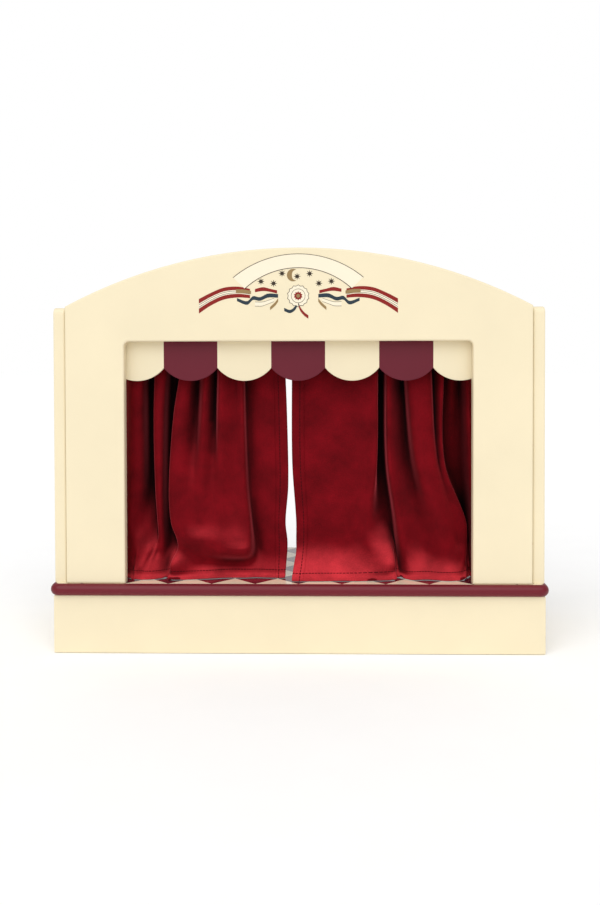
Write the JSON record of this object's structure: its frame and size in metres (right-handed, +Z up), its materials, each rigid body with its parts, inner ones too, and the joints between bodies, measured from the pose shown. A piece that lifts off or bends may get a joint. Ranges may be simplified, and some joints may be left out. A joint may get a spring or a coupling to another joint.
{
  "type": "tabletop puppet theatre",
  "caption": "Painted wooden tabletop puppet theatre with an arched front, a scalloped valance and two velvet curtains that slide on a rod.",
  "frame": {"origin": "on the table, under the middle of the stage floor board, which is the middle of the theatre's footprint", "axes": "+X to the right as the audience sees it, +Y from the audience towards the open back, +Z up"},
  "size_m": [0.5, 0.182, 0.4061],
  "materials": {
    "cream_paint": "satin cream paint on board",
    "burgundy_paint": "semi-gloss burgundy paint on board",
    "velvet": "dark red velvet pile",
    "beech": "bare sanded beech",
    "zinc_steel": "zinc plated"
  },
  "bodies": {
    "theatre": {"plinth_front": "cream_paint", "plinth_back": "cream_paint", "plinth_left": "cream_paint", "plinth_right": "cream_paint", "corner_block_1": "beech", "corner_block_2": "beech", "corner_block_3": "beech", "corner_block_4": "beech", "corner_block_screw_1": "zinc_steel", "corner_block_screw_2": "zinc_steel", "corner_block_screw_3": "zinc_steel", "corner_block_screw_4": "zinc_steel", "stage_floor": "burgundy_paint", "left_side_board": "cream_paint", "right_side_board": "cream_paint", "left_side_screw_1": "zinc_steel", "left_side_screw_2": "zinc_steel", "left_side_screw_3": "zinc_steel", "right_side_screw_1": "zinc_steel", "right_side_screw_2": "zinc_steel", "right_side_screw_3": "zinc_steel", "front_panel": "cream_paint", "left_leg_screw_1": "zinc_steel", "left_leg_screw_2": "zinc_steel", "right_leg_screw_1": "zinc_steel", "right_leg_screw_2": "zinc_steel", "left_dowel_1": "beech", "left_dowel_2": "beech", "left_dowel_3": "beech", "right_dowel_1": "beech", "right_dowel_2": "beech", "right_dowel_3": "beech", "valance": "burgundy_paint", "valance_screw_1": "zinc_steel", "valance_screw_2": "zinc_steel", "valance_screw_3": "zinc_steel", "valance_screw_4": "zinc_steel", "curtain_rod": "beech", "left_curtain": "velvet", "right_curtain": "velvet"},
    "left_hem": {"left_curtain_leading_edge": "velvet"},
    "right_hem": {"right_curtain_leading_edge": "velvet"}
  },
  "joints": [
    {"name": "left_curtain_slide", "type": "slide", "parent": "theatre", "child": "left_hem", "axis": [-1, 0, 0], "range_m": [0, 0.1366], "deforming": ["left_curtain"]},
    {"name": "right_curtain_slide", "type": "slide", "parent": "theatre", "child": "right_hem", "axis": [1, 0, 0], "range_m": [0, 0.1492], "deforming": ["right_curtain"]}
  ]
}
